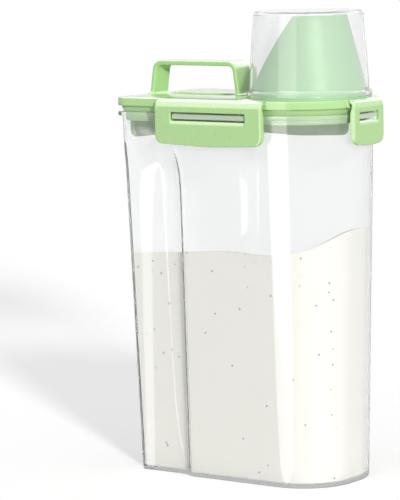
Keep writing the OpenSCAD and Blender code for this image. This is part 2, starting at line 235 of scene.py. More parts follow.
def bar(section, length, side):
    """A straight bar along the plate's edge, from a section of (outwards, up) points."""
    ends = [[(x, -out, up) for out, up in section] for x in (-length / 2, length / 2)]
    piece = loft("bar", [np.array(end) for end in ends])
    piece.data.transform(sides[side])
    return piece


def rounded_slab(half_x, half_y, corner, levels):
    """Rings of a rounded rectangle, one for each (inset, height)."""
    rings = []
    for inset, z in levels:
        radius = max(corner - inset, 0.0001)
        x, y = half_x - inset - radius, half_y - inset - radius
        rings.append(at_height(np.concatenate([arc(x, y, radius, 0, 6), arc(-x, y, radius, 90, 6),
                                               arc(-x, -y, radius, 180, 6), arc(x, -y, radius, 270, 6)]), z))
    return rings


def end_land(half_width, bottom, top, edge):
    """Straight land on the round end, where the end latch hangs or clips."""
    levels = [(edge, bottom), (0, bottom + edge),
              (0, top - edge), (0.3 * edge, top - 0.3 * edge), (edge, top)]
    piece = loft("land", rounded_slab(land_reach, half_width, 0.0008, levels))
    piece.data.transform(Matrix.Translation((rim_half_length - land_reach, 0, 0)))
    return piece


quarter_turns = np.radians(np.linspace(0, 90, 6))
base_rings = [wall_ring(0, base_round * (1 - sin(t)), base_round * (1 - cos(t))) for t in quarter_turns]
inside_rings = [wall_ring(floor_thickness, wall + base_round * (1 - sin(t)), base_round * (1 - cos(t)))
                for t in quarter_turns]
wall_levels = np.concatenate([np.linspace(0.010, grip_top - 0.009, 20),
                              np.linspace(grip_top - 0.008, grip_top + grip_step + 0.001, 34),
                              np.linspace(grip_top + grip_step + 0.003, rim_underside, 6)])
tub = loft("tub_shell", base_rings
           + [wall_ring(z, 0) for z in wall_levels]
           + [rim_ring(rim_round, rim_underside), rim_ring(0.3 * rim_round, rim_underside + 0.3 * rim_round),
              rim_ring(0, rim_underside + rim_round), rim_ring(0, rim_top - rim_round),
              rim_ring(0.3 * rim_round, rim_top - 0.3 * rim_round), rim_ring(rim_round, rim_top)]
           + [wall_ring(rim_top, wall - rim_round), wall_ring(rim_top - rim_round, wall)]
           + [wall_ring(z, wall) for z in wall_levels[::-1]]
           + inside_rings[::-1])
combine(tub, end_land(latch_lengths["spout_end"] / 2 - end_window_margin, rim_underside, rim_top, rim_round),
        "UNION")
tab_top, tab_bottom = -window_top - tab_gap - 0.0004, -window_top - window_height + tab_gap
tab_section = [(-0.0015, tab_top), (tab_reach - 0.0004, tab_top), (tab_reach, tab_top - 0.0004),
               (tab_reach, tab_bottom + 0.0005), (0.0004, tab_bottom), (-0.0015, tab_bottom)]
for side in sides:
    margin = end_window_margin if side.endswith("end") else long_window_margin
    combine(tub, bar(tab_section, latch_lengths[side] - 2 * margin - 2 * tab_end_gap, side), "UNION")
smooth(tub)


def material(name):
    """A new material with its main shader."""
    new = bpy.data.materials.new(name)
    new.use_nodes = True
    return new, new.node_tree.nodes, new.node_tree.links, new.node_tree.nodes["Principled BSDF"]


def mottle(nodes, links, scale, low, high, detail=3.0):
    """A noise in the piece's own space, spread between two values."""
    place = nodes.new("ShaderNodeTexCoord")
    grain = nodes.new("ShaderNodeTexNoise")
    grain.inputs["Scale"].default_value = scale
    grain.inputs["Detail"].default_value = detail
    links.new(place.outputs["Object"], grain.inputs["Vector"])
    spread = nodes.new("ShaderNodeMapRange")
    spread.inputs["From Min"].default_value = 0.15
    spread.inputs["From Max"].default_value = 0.85
    spread.inputs["To Min"].default_value = low
    spread.inputs["To Max"].default_value = high
    links.new(grain.outputs["Fac"], spread.inputs["Value"])
    return grain, spread


def clear_plastic(name, tint, depth_tint, density, clear, dull=0.0):
    """Clear plastic with a slight haze, polished or rubbed dull, darker where seen along its wall."""
    new, nodes, links, plastic = material(name)
    plastic.inputs["Base Color"].default_value = (*tint, 1)
    plastic.inputs["IOR"].default_value = 1.49
    plastic.inputs["Transmission Weight"].default_value = clear
    rubbed = mottle(nodes, links, 60, dull, dull + 0.03)[1]
    links.new(rubbed.outputs["Result"], plastic.inputs["Roughness"])
    light_path = nodes.new("ShaderNodeLightPath")
    pane = nodes.new("ShaderNodeBsdfTransparent")
    pane.inputs["Color"].default_value = (0.93, 0.94, 0.935, 1)
    shader = plastic.outputs["BSDF"]
    for ray in ("Is Diffuse Ray", "Is Shadow Ray"):
        let_through = nodes.new("ShaderNodeMixShader")
        links.new(light_path.outputs[ray], let_through.inputs["Fac"])
        links.new(shader, let_through.inputs[1])
        links.new(pane.outputs["BSDF"], let_through.inputs[2])
        shader = let_through.outputs["Shader"]
    absorb = nodes.new("ShaderNodeVolumeAbsorption")
    absorb.inputs["Color"].default_value = (*depth_tint, 1)
    absorb.inputs["Density"].default_value = density
    output = nodes["Material Output"]
    links.new(shader, output.inputs["Surface"])
    links.new(absorb.outputs["Volume"], output.inputs["Volume"])
    return new


tub.data.materials.append(clear_plastic("clear_tub", (0.978, 0.982, 0.982), (0.30, 0.36, 0.36), 4, 0.94))

# The tabs that the latches close over are rubbed dull, and their green tint is painted light: the green cast
# of the latch around each clear tab
tub.data.materials.append(clear_plastic("rubbed_tab_painted_green_cast", (0.60, 0.72, 0.56), (0.30, 0.36, 0.36), 8, 0.3, 0.3))
for face in tub.data.polygons:
    corners = [tub.data.vertices[v].co for v in face.vertices]
    beyond = [max(abs(c.x) - rim_half_length, abs(c.y) - rim_half_width) for c in corners]
    if max(beyond) > tab_reach / 2:
        face.material_index = 1
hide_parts("tub")
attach(tub, "container")


# Powder: fine white laundry powder with a few blue-grey grains, poured in loose. It lies against
# the wall, with a shallow dip, a heap towards the round end, and a slight fall towards the back.
powder_gap = 0.0003
powder_level = 0.1345
powder_rise = 0.013
powder_rise_length = 0.037
powder_rise_start = rim_half_length - 0.013 - powder_rise_length
powder_dip = 0.0032
powder_dip_middle = powder_rise_start - 0.017
powder_dip_reach = 0.030
powder_turn = radians(33.5)
powder_fall = tan(radians(7.2))
wall_sample = 0.120
wall_sample_rise = 0.04
heap_rings = 26
powder_foot = [(0.0001, 0.0011), (0.0004, 0.0004), (0.0012, 0)]    # height above the floor, inset
grain_scale = 1800
speck_scale = 170
speck_size = 0.12
speck_threshold = 0.64


def eased(share):
    """0 to 1, easing in and out."""
    held = min(1.0, max(0.0, share))
    return held * held * (3 - 2 * held)


def powder_top(x, y):
    """Height of the loose top at a place."""
    along = x * cos(powder_turn) + y * sin(powder_turn)
    across = y * cos(powder_turn) - x * sin(powder_turn)
    heap = powder_rise * eased((along - powder_rise_start) / powder_rise_length)
    dip = powder_dip * (1 - eased(abs(along - powder_dip_middle) / powder_dip_reach))
    ripple = noise.noise(Vector((x * 55, y * 55, 0.3))) * 0.0003
    grains = noise.noise(Vector((x * 400, y * 400, 2))) * 0.00015
    return powder_level + heap - dip - powder_fall * across + ripple + grains


lower = wall_ring(wall_sample, wall + powder_gap)
upper = wall_ring(wall_sample + wall_sample_rise, wall + powder_gap)
edge_height = np.array([powder_top(x, y) for x, y in lower[:, :2]])
edge = lower + (upper - lower) * ((edge_height - wall_sample) / wall_sample_rise)[:, None]
powder_rings = [wall_ring(floor_thickness + h, wall + powder_gap + inset) for h, inset in powder_foot]
powder_rings += [wall_ring(z, wall + powder_gap) for z in np.linspace(0.012, wall_sample, 16)]
powder_rings += [edge]
for k in range(1, heap_rings):
    ring = edge * (1 - k / heap_rings)
    ring[:, 2] = [powder_top(x, y) for x, y in ring[:, :2]]
    powder_rings.append(ring)
powder = loft("powder_heap", powder_rings)
smooth(powder, 60)


def maths(nodes, links, operation, first, second):
    """A sum, product or comparison of two values, each a number or another node's output."""
    new = nodes.new("ShaderNodeMath")
    new.operation = operation
    for socket, value in zip(new.inputs, (first, second)):
        if isinstance(value, (int, float)):
            socket.default_value = value
        else:
            links.new(value, socket)
    return new.outputs["Value"]


powder_look, nodes, links, shader = material("laundry_powder")
grain, shade = mottle(nodes, links, grain_scale, 0.0, 1.0, 2)
loose_colour = nodes.new("ShaderNodeMix")
loose_colour.data_type = "RGBA"
loose_colour.inputs["A"].default_value = (0.845, 0.815, 0.755, 1)
loose_colour.inputs["B"].default_value = (0.875, 0.845, 0.795, 1)
links.new(shade.outputs["Result"], loose_colour.inputs["Factor"])
cells = nodes.new("ShaderNodeTexVoronoi")
cells.inputs["Scale"].default_value = speck_scale
place = nodes.new("ShaderNodeTexCoord")
links.new(place.outputs["Object"], cells.inputs["Vector"])
near = maths(nodes, links, "LESS_THAN", cells.outputs["Distance"], speck_size)
pick = nodes.new("ShaderNodeSeparateColor")
links.new(cells.outputs["Color"], pick.inputs["Color"])
few = maths(nodes, links, "GREATER_THAN", pick.outputs["Red"], speck_threshold)
speck = maths(nodes, links, "MULTIPLY", near, few)
specked = nodes.new("ShaderNodeMix")
specked.data_type = "RGBA"
specked.inputs["B"].default_value = (0.33, 0.36, 0.38, 1)
links.new(speck, specked.inputs["Factor"])
links.new(loose_colour.outputs["Result"], specked.inputs["A"])
links.new(specked.outputs["Result"], shader.inputs["Base Color"])
grit = nodes.new("ShaderNodeBump")
grit.inputs["Strength"].default_value = 0.35
grit.inputs["Distance"].default_value = 0.0003
links.new(grain.outputs["Fac"], grit.inputs["Height"])
links.new(grit.outputs["Normal"], shader.inputs["Normal"])
shader.inputs["Roughness"].default_value = 0.95
shader.inputs["Specular IOR Level"].default_value = 0.15
powder.data.materials.append(powder_look)
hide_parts("powder")
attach(powder, "container")


# Lid: one moulding in pale green plastic. A thick plate with a set-back band below it, a plug that
# reaches into the tub with a groove for its seal, a ring for the spout, and a flat loop handle.
plate_underside = lid_top - plate_thickness
plate_round = 0.0008
small_round = 0.0003
band_top_inset = 0.0019
band_bottom_inset = 0.0032
band_gap = 0.00005
plug_inset = 0.0048
plug_wall = 0.003
plug_bottom = lid_low.z
seal_groove = 0.0013
skin = 0.0024
mould_relief = 0.00005
coat_roughness = 0.08
seal_low, seal_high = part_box("lid_seal")
band_bottom = rim_top + band_gap
lid_profile = [
    (plate_round, lid_top), (0.3 * plate_round, lid_top - 0.3 * plate_round), (0, lid_top - plate_round),
    (0, plate_underside + small_round), (small_round, plate_underside),
    (band_top_inset, plate_underside), (band_bottom_inset, band_bottom + small_round),
    (band_bottom_inset + small_round, band_bottom), (plug_inset, band_bottom),
    (plug_inset, seal_high.z), (plug_inset + seal_groove, seal_high.z),
    (plug_inset + seal_groove, seal_low.z), (plug_inset, seal_low.z),
    (plug_inset, plug_bottom + small_round), (plug_inset + small_round, plug_bottom),
    (plug_inset + plug_wall, plug_bottom), (plug_inset + plug_wall, lid_top - skin),
]
lid = loft("lid_plate", [rim_ring(inset, z) for inset, z in lid_profile])
combine(lid, end_land(latch_lengths["spout_end"] / 2, plate_underside, lid_top, plate_round), "UNION")

# The ring that the spout is pressed on, and the way through it
spout_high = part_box("spout")[1]
spout_x = (cup_low.x + cup_high.x) / 2
foot_radius = 0.0336
spout_wall = 0.0016
ring_radius = foot_radius - spout_wall - 0.00005
ring_top = lid_top + 0.005


def disc(radius, low, high, steps=144):
    """A plain round slug on the spout's axis."""
    turns = np.radians(np.arange(steps) * 360 / steps)
    circle = np.column_stack([spout_x + radius * np.cos(turns), radius * np.sin(turns)])
    return loft("disc", [at_height(circle, low), at_height(circle, high)])


combine(lid, disc(ring_radius, plug_bottom, ring_top), "UNION")
combine(lid, disc(ring_radius - spout_wall, plug_bottom - 0.01, ring_top + 0.01), "DIFFERENCE")

# The handle: a flat band bent over in two round corners, flared a little where it joins the plate
handle_outer_foot = -0.074
handle_length = 0.0665
handle_height = 0.0203
handle_half_width = 0.0075
handle_half_thickness = 0.00145
handle_lean = 0.0029
handle_corner = 0.00505
handle_edge = 0.0008
flare = 0.0014


def handle_path():
    """The middle line of the band, from foot to foot, as places and turns in the XZ plane."""
    foot = handle_length / 2 - handle_half_thickness
    top = handle_height - handle_half_thickness
    tilt = np.arctan2(handle_lean, handle_height)
    shoulder = foot - handle_lean * top / handle_height
    sunk = 0.0012
    corner_x = shoulder - handle_corner * tan(pi / 4 - tilt / 2)
    leg_top = top - handle_corner * tan(pi / 4 - tilt / 2) * cos(tilt)
    leg = [(foot - handle_lean * h / handle_height, h, pi / 2 + tilt)
           for h in np.concatenate([[-sunk], np.linspace(0, flare, 6), np.linspace(flare, leg_top, 6)[1:]])]
    bend = [(corner_x + handle_corner * cos(a), top - handle_corner + handle_corner * sin(a), a + pi / 2)
            for a in np.linspace(tilt, pi / 2, 13)[1:]]
    half = leg + bend
    middle = [(x, top, pi) for x in np.linspace(corner_x, -corner_x, 9)[1:-1]]
    return half + middle + [(-x, h, 3 * pi / 2 - (a - pi / 2)) for x, h, a in half[::-1]]


handle_rings = []
for x, h, turn in handle_path():
    spread = flare * max(0.0, 1 - max(h, 0) / flare) ** 2
    across, along = handle_half_thickness + 0.7 * spread, handle_half_width + 0.7 * spread
    section = rounded_slab(across, along, handle_edge, [(0, 0)])[0]
    side_x, side_z = sin(turn), -cos(turn)
    handle_rings.append(np.array([(x + u * side_x, v, h + u * side_z) for u, v, _ in section]))
handle = loft("handle", handle_rings)
handle.data.transform(Matrix.Translation((handle_outer_foot + handle_length / 2, 0, lid_top)))
combine(lid, handle, "UNION")

# The shallow finger recess under the handle, and the grooves that the latches turn in
recess_half_length = 0.02635
recess_half_width = 0.0085
recess_depth = 0.0008
recess = loft("recess", rounded_slab(recess_half_length, recess_half_width, 0.004,
                                     [(0.0008, -recess_depth), (0.0004, -0.9 * recess_depth), (0, 0.0001),
                                      (0, 0.002)]))
recess.data.transform(Matrix.Translation((handle_outer_foot + handle_length / 2, 0, lid_top)))
combine(lid, recess, "DIFFERENCE")
bead_radius = 0.00055
bead_out = 0.0005
bead_drop = 0.00075
groove_radius = bead_radius + 0.0005
hinge_land = 0.0012
round_turns = np.radians(np.arange(24) * 15)
for side in sides:
    groove = [(bead_out + groove_radius * cos(t), -bead_drop + groove_radius * sin(t)) for t in round_turns]
    combine(lid, bar(groove, latch_lengths[side] + 2 * hinge_land, side), "DIFFERENCE")
smooth(lid, 35)


def green_plastic(name, pale, deep, gloss_low, gloss_high, texture, coat=0.0):
    """Moulded green plastic: almost even in colour, satin or glossy, faintly uneven from its mould."""
    new, nodes, links, plastic = material(name)
    share = mottle(nodes, links, 9, 0.0, 1.0, 1)[1]
    colour = nodes.new("ShaderNodeMix")
    colour.data_type = "RGBA"
    colour.inputs["A"].default_value = (*deep, 1)
    colour.inputs["B"].default_value = (*pale, 1)
    links.new(share.outputs["Result"], colour.inputs["Factor"])
    links.new(colour.outputs["Result"], plastic.inputs["Base Color"])
    shine = mottle(nodes, links, 60, gloss_low, gloss_high, 1)[1]
    links.new(shine.outputs["Result"], plastic.inputs["Roughness"])
    grain = mottle(nodes, links, 500, 0, 1, 1)[0]
    skin_bump = nodes.new("ShaderNodeBump")
    skin_bump.inputs["Strength"].default_value = texture
    skin_bump.inputs["Distance"].default_value = mould_relief
    links.new(grain.outputs["Fac"], skin_bump.inputs["Height"])
    links.new(skin_bump.outputs["Normal"], plastic.inputs["Normal"])
    plastic.inputs["IOR"].default_value = 1.5
    plastic.inputs["Coat Weight"].default_value = coat
    plastic.inputs["Coat Roughness"].default_value = coat_roughness
    return new


lid_green = green_plastic("green_lid", (0.365, 0.585, 0.240), (0.357, 0.577, 0.234), 0.15, 0.18, 0.02, 0.6)
lid.data.materials.append(lid_green)
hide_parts("lid")
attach(lid, "container")


# Lid seal: a soft, milky silicone ring that lies in the plug's groove and closes against the tub.
# The solid is right as it stands and only gets its finish.
seal_look, nodes, links, shader = material("soft_seal")
milk = mottle(nodes, links, 90, 0.0, 1.0)[1]
seal_colour = nodes.new("ShaderNodeMix")
seal_colour.data_type = "RGBA"
seal_colour.inputs["A"].default_value = (0.46, 0.60, 0.42, 1)
seal_colour.inputs["B"].default_value = (0.50, 0.64, 0.46, 1)
links.new(milk.outputs["Result"], seal_colour.inputs["Factor"])
links.new(seal_colour.outputs["Result"], shader.inputs["Base Color"])
shader.inputs["Roughness"].default_value = 0.5
shader.inputs["Transmission Weight"].default_value = 0.15
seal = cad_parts["lid_seal"]
seal.data.materials.clear()
seal.data.materials.append(seal_look)


# Spout: a tapering tube in pale, slightly see-through green plastic, pressed on the lid's ring by
# its upright foot. Its mouth is cut on a slant and rises to a level lip at the round end.
top_radius = 0.0226
foot_height = 0.006
spout_height = spout_high.z - lid_top
flange_radius = (cup_high.x - cup_low.x) / 2
flange_thickness = 0.0008
mouth_low = -0.0229
mouth_high = 0.00435
lip_round = 0.0004
taper = (foot_radius - top_radius) / (spout_height - foot_height)
mouth_slope = (spout_height - foot_height) / (mouth_high - mouth_low)
spout_turns = np.radians(np.arange(180) * 2)


def cone_radius(z):
    """Outer radius of the spout at a height above the lid."""
    return foot_radius - taper * np.clip(z - foot_height, 0, None)


def lip_height(turn):
    """Height of the mouth's lip in a direction: the slant, then level at the spout's top."""
    reach = cos(turn)
    start = foot_radius + taper * foot_height
    crossing = ((foot_height + mouth_slope * (start * reach - mouth_low)) / (1 + mouth_slope * taper * reach))
    return min(max(crossing, foot_height), spout_height)


lips = np.array([lip_height(t) for t in spout_turns])


def spout_ring(heights, inset):
    """A ring round the spout with its own height in each direction, drawn in by an inset."""
    radius = cone_radius(heights) - inset
    return np.column_stack([spout_x + radius * np.cos(spout_turns), radius * np.sin(spout_turns),
                            lid_top + heights])


def level_ring(radius, height):
    """A level ring on the spout's axis."""
    return np.column_stack([spout_x + radius * np.cos(spout_turns), radius * np.sin(spout_turns),
                            np.full(len(spout_turns), lid_top + height)])


rise = np.linspace(0, 1, 15)[1:-1]
outer_wall = [spout_ring(foot_height + (lips - lip_round - foot_height).clip(0.00002) * s, 0) for s in rise]
inner_wall = [spout_ring(foot_height + (lips - lip_round - foot_height).clip(0.00001) * s, spout_wall)
              for s in rise[::-1]]
spout = loft("spout_tube", [
    level_ring(foot_radius - spout_wall, 0), level_ring(flange_radius - 0.0001, 0),
    level_ring(flange_radius, 0.0002), level_ring(flange_radius, flange_thickness - 0.0002),
    level_ring(flange_radius - 0.0002, flange_thickness), level_ring(foot_radius + 0.0006, flange_thickness),
    level_ring(foot_radius + 0.0001, flange_thickness + 0.0005),
    level_ring(foot_radius, foot_height - 0.0012), level_ring(foot_radius, foot_height - lip_round)]
    + outer_wall
    + [spout_ring(lips - lip_round + 0.00003, 0), spout_ring(lips - 0.3 * lip_round, 0.3 * lip_round),
       spout_ring(lips, lip_round), spout_ring(lips, spout_wall - lip_round),
       spout_ring(lips - 0.3 * lip_round, spout_wall - 0.3 * lip_round),
       spout_ring(lips - lip_round + 0.00002, spout_wall)]
    + inner_wall
    + [level_ring(foot_radius - spout_wall, foot_height - lip_round)], closed=True)
smooth(spout, 40)
spout_green = green_plastic("green_spout", (0.345, 0.565, 0.320), (0.340, 0.558, 0.315), 0.24, 0.28, 0.02)
spout.data.materials.append(spout_green)
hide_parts("spout")
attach(spout, "container")


# Measuring cup: clear, polished and stood upside down over the spout, where it slides straight up.
# It has a thick mouth flange, a rounded floor edge, and raised graduation lines on its wall.
cup_height = cup_high.z - cup_low.z
cup_wall = 0.0014
cup_floor_edge = 0.0022
cup_flange_height = 0.003
cup_mouth_radius = 0.0355
cup_floor_radius = 0.0324
cup_shoulder = cup_flange_height + 0.0003
cup_taper = (cup_mouth_radius - cup_floor_radius) / (cup_height - cup_shoulder)
mark_heights = [0.0432, 0.0338, 0.0239, 0.0156, 0.0116]
mark_lengths = [0.005, 0.005, 0.005, 0.005, 0.0075]
mark_half_height = 0.00035
mark_relief = 0.00025
marks_turn = radians(-64)


def corner(x, z, radius, start, steps):
    """A rounded corner of a section, about a centre, turned from an angle in degrees to the next quarter."""
    return [tuple(p) for p in arc(x, z, radius, start, steps)]


inner_edge = cup_floor_edge - cup_wall
cup_section = ([(cup_mouth_radius - cup_wall + 0.0003, cup_low.z), (flange_radius - 0.0005, cup_low.z)]
               + corner(flange_radius - 0.0005, cup_low.z + 0.0005, 0.0005, -90, 4)[1:]
               + corner(flange_radius - 0.0008, cup_low.z + cup_flange_height - 0.0008, 0.0008, 0, 5)
               + [(cup_mouth_radius + 0.0004, cup_low.z + cup_flange_height + 0.00005),
                  (cup_mouth_radius, cup_low.z + cup_shoulder + 0.0003)]
               + [(cup_mouth_radius - cup_taper * h, cup_low.z + cup_shoulder + h)
                  for h in np.linspace(0.002, cup_height - cup_shoulder - cup_floor_edge - 0.0002, 12)]
               + corner(cup_floor_radius - cup_floor_edge, cup_high.z - cup_floor_edge, cup_floor_edge, 0, 9)
               + [(0.02, cup_high.z), (0.008, cup_high.z)])
cup_inside = ([(0.008, cup_high.z - cup_wall), (0.02, cup_high.z - cup_wall)]
              + corner(cup_floor_radius - cup_wall - inner_edge, cup_high.z - cup_wall - inner_edge,
                       inner_edge, 0, 6)[::-1]
              + [(cup_mouth_radius - cup_wall - cup_taper * h, cup_low.z + cup_shoulder + h)
                 for h in np.linspace(cup_height - cup_shoulder - cup_floor_edge - 0.0002, 0, 12)])


def domed(name, outside, inside, steps=144):
    """A round piece that is closed at its top, from its outer and inner section lines."""
    turns = np.radians(np.arange(steps) * 360 / steps)

    def ring(point):
        return np.column_stack([spout_x + point[0] * np.cos(turns), point[0] * np.sin(turns),
                                np.full(steps, point[1])])
    outer = [ring(p) for p in outside]
    inner = [ring(p) for p in inside]
    return loft(name, inner + outer)


cup = domed("cup_shell", cup_section, cup_inside)
for height, length in zip(mark_heights, mark_lengths):
    radius = cup_mouth_radius - cup_taper * (lid_top + height - cup_low.z - cup_shoulder)
    mark_turns = marks_turn + np.linspace(0, length / radius, 9)
    middle = lid_top + height
    mark = loft("mark", [np.array([(spout_x + r * cos(t), r * sin(t), z) for r, z in
                                   [(radius - 0.0002, middle - mark_half_height),
                                    (radius + mark_relief, middle - 0.6 * mark_half_height),
                                    (radius + mark_relief, middle + 0.6 * mark_half_height),
                                    (radius - 0.0002, middle + mark_half_height)]]) for t in mark_turns])
    combine(cup, mark, "UNION")
smooth(cup)
cup.data.materials.append(clear_plastic("clear_cup", (0.945, 0.950, 0.952), (0.34, 0.36, 0.38), 4, 0.92))
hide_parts("measuring_cup")
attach(cup, "cup")


# Latches: four snap latches in the lid's green plastic, each one moulding with a bead along its top
# that turns in the plate's groove. The face slopes back to the bead, its ends turn inwards, and a
# window near the top closes over the clear tab on the tub's rim.
latch_drop = lid_top - latch_low.z
latch_reach = -rim_half_width - latch_low.y
latch_bow = 0.0013
latch_thickness = 0.0019
latch_corner = 0.005
latch_edge = 0.0008
window_edge = 0.0003
window_corner = 0.001
sill_slope = 0.0019
sill_depth = 0.0009
return_depth = 0.0035
return_wall = 0.0015
bead_end_gap = 0.0005
shoulder_in = 0.0012
shoulder_drop = 0.0014
face_top = 0.0044
shoulder = [(bead_out, -0.0002), (latch_reach - shoulder_in, -shoulder_drop), (latch_reach, -face_top),
            (latch_reach, -latch_drop - 0.002)]


def rounded(points, radii, steps=8):
    """Dense outline through corners with their own radii, steps + 1 points to each corner."""
    line = []
    for k, (point, radius) in enumerate(zip(points, radii)):
        here = Vector(point)
        back = (Vector(points[k - 1]) - here).normalized()
        ahead = (Vector(points[(k + 1) % len(points)]) - here).normalized()
        half = back.angle(ahead) / 2
        centre = here + (back + ahead).normalized() * (radius / sin(half))
        first = here + back * (radius / tan(half)) - centre
        sweep = first.angle_signed(here + ahead * (radius / tan(half)) - centre)
        for i in range(steps + 1):
            spin = Matrix.Rotation(-sweep * i / steps, 2)
            line.append(tuple(centre + spin @ first))
    return np.array(line)


def four_sided(points, radii, corners, count=30, steps=8):
    """A closed outline sampled alike on its four sides, closest together at the corners."""
    line = rounded(points, radii, steps)
    middles = [c * (steps + 1) + steps // 2 for c in corners]
    share = 0.5 - 0.5 * np.cos(np.pi * np.arange(count) / count)
    ring = []
    for start, stop in zip(middles, middles[1:] + [middles[0] + len(line)]):
        side_line = line[np.arange(start, stop + 1) % len(line)]
        length = np.concatenate([[0], np.cumsum(np.hypot(*np.diff(side_line, axis=0).T))])
        ring.append(np.column_stack([np.interp(share * length[-1], length, side_line[:, k]) for k in (0, 1)]))
    return np.concatenate(ring)


# The latch's outer face in section, as distance run from the bead against (outwards, up)
face_line = np.concatenate([[shoulder[0]],
                            rounded([shoulder[0], shoulder[1], shoulder[2]], [0.0001, 0.0009, 0.0001])[9:18],
                            rounded([shoulder[1], shoulder[2], shoulder[3]], [0.0001, 0.0008, 0.0001])[9:18],
                            [shoulder[3]]])
face_run = np.concatenate([[0], np.cumsum(np.hypot(*np.diff(face_line, axis=0).T))])
face_facing = np.gradient(face_line, face_run, axis=0)[:, ::-1] * (-1, 1)
upright_run = face_run[-1] - (latch_drop + 0.002)
face_bends = [np.hypot(shoulder[1][0] - shoulder[0][0], shoulder[1][1] - shoulder[0][1]),
              upright_run - shoulder[2][1]]


def bent(flat, depth):
    """Bends a flat outline of (along, run) over the latch's section, at a depth below its face."""
    run = flat[:, 1]
    place = [np.interp(run, face_run, face_line[:, k]) for k in (0, 1)]
    facing = np.array([np.interp(run, face_run, face_facing[:, k]) for k in (0, 1)])
    facing /= np.hypot(*facing)
    out, up = [place[k] - facing[k] * depth for k in (0, 1)]
    return np.column_stack([flat[:, 0], -out, up])


def latch_face(length, inset, top=None):
    """The latch laid flat, drawn in: square at its bead, round and bowed at its lower edge."""
    half, top = length / 2 - inset, inset if top is None else top
    low = upright_run + latch_drop - inset
    points = [(-half, top), (half, top),
              (half, low - latch_bow), (0, low + 0.15 * latch_bow), (-half, low - latch_bow)]
    radii = [max(0.0009 - inset, 0.0002)] * 2 + [latch_corner - inset, 2.5 * length, latch_corner - inset]
    return four_sided(points, radii, [0, 1, 2, 4])


def latch_window(length, margin, grow, sill):
    """The latch's window laid flat, grown outwards, and more so at its sill."""
    half = length / 2 - margin + grow
    top = upright_run + window_top - grow
    low = upright_run + window_top + window_height + grow + sill
    points = [(-half, top), (half, top), (half, low), (-half, low)]
    return four_sided(points, [window_corner + grow] * 4, [0, 1, 2, 3])


def latch(side, body, length, margin):
    """One latch, as a loop of rings from the window's back edge over the face and round the returns."""
    outer = latch_face(length, 0)
    step = np.roll(outer, -1, axis=0) - np.roll(outer, 1, axis=0)
    sideways = (step[:, 1] / np.hypot(*step.T)) ** 2
    run = outer[:, 1] - upright_run
    skirt = np.interp(run, [0.002, 0.008, latch_drop - 0.004, latch_drop],
                      [0.0016, return_depth, return_depth, 0.0024])
    edge = np.interp(run, [0, 0.004], [0.0010, latch_thickness])
    depth = sideways * skirt + (1 - sideways) * edge
    inner_depth = np.minimum(edge, latch_thickness)
    tops = [bend + step for bend in face_bends for step in (-0.0006, -0.0002, 0.0002, 0.0006)]
    tops.append(face_bends[1] + 0.0015)
    insets = np.linspace(0.0011, 0.0030, len(tops))
    over_bends = [bent(latch_face(length, inset, top), 0) for inset, top in zip(insets, tops)]
    rings = [
        bent(latch_window(length, margin, 0, 0), latch_thickness),
        bent(latch_window(length, margin, 0, 0), window_edge + sill_depth * at_sill()),
        bent(latch_window(length, margin, 0.3 * window_edge, 0.3 * sill_slope),
             (0.3 * window_edge) + 0.6 * sill_depth * at_sill()),
        bent(latch_window(length, margin, window_edge, sill_slope), 0),
        bent(latch_window(length, margin, window_edge + 0.0002, sill_slope), 0),
        *over_bends[::-1],
        bent(latch_face(length, latch_edge), 0),
        bent(latch_face(length, 0.3 * latch_edge), 0.3 * latch_edge),
        bent(outer, latch_edge),
        bent(outer, depth - 0.0002),
        bent(latch_face(length, 0.0002), depth),
        bent(latch_face(length, return_wall - 0.0002), depth),
        bent(latch_face(length, return_wall + 0.0002), inner_depth),
    ]
    piece = loft(f"{side}_latch_face", rings, closed=True)
    bead = [(bead_out + bead_radius * cos(t), -bead_drop + bead_radius * sin(t)) for t in round_turns]
    bead_ends = (bead_end_gap - length / 2, length / 2 - bead_end_gap)
    bead_rings = [np.array([(x, -out, up) for out, up in bead]) for x in bead_ends]
    combine(piece, loft("bead", bead_rings), "UNION")
    piece.data.transform(sides[side])
    smooth(piece, 35)
    piece.data.materials.append(latch_green)
    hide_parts(f"latch_{side}")
    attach(piece, body)


def at_sill(count=30):
    """1 along the window's sill and 0 on its other sides."""
    share = np.zeros(4 * count)
    share[2 * count + 1:3 * count] = 1
    return share


latch_green = green_plastic("green_latch", (0.385, 0.605, 0.262), (0.378, 0.598, 0.257),
                            0.26, 0.29, 0.02, 0.9)
latch("front", "front_latch", latch_lengths["front"], long_window_margin)
latch("back", "back_latch", latch_lengths["back"], long_window_margin)
latch("spout_end", "spout_end_latch", latch_lengths["spout_end"], end_window_margin)
latch("grip_end", "grip_end_latch", latch_lengths["grip_end"], end_window_margin)


# Studio: a wide pale floor that looks white and keeps the soft shadow, one low, soft sun to the right
# of the front, and a bright surround that gives more light from above. What shines mirrors a greyer
# floor with two bright strips, as a window would draw them, and a lamp overhead.
floor_size = 6.0
floor_glow = 0.36
floor_mirrored = 0.50
floor_mirrored_within = 0.60
front_turn = radians(36)
front_start = 0.3
surround_seen = 1.0
surround_light = 0.22
light_from_above = 0.50
overhead_light = 2.7
overhead_edge = (0.30, 0.50)
strip_light = 3.0
strip_edges = (-29, 9)
strip_foot = (0.041, -0.041, 0)
grip_strip_right = ((-0.0594, -0.036, 0), (-90, -36.71))
grip_strip_left = ((-0.0657, -0.036, 0), (-37.02, 60))
grip_strip_reach = 1.55
strip_feather = 5.0
grip_strip_feather = 0.3
sun_turn = radians(52)
sun_rise = radians(15)
sun_strength = 3.0
sun_spread = radians(6)
floor_mesh = bpy.data.meshes.new("floor")
floor_mesh.from_pydata([(x * floor_size, y * floor_size, 0) for x, y in ((-1, -1), (1, -1), (1, 1), (-1, 1))],
                       [], [(0, 1, 2, 3)])
floor = bpy.data.objects.new("floor", floor_mesh)
bpy.context.scene.collection.objects.link(floor)
floor_look, nodes, links, shader = material("pale_floor")
shader.inputs["Base Color"].default_value = (0.80, 0.80, 0.80, 1)
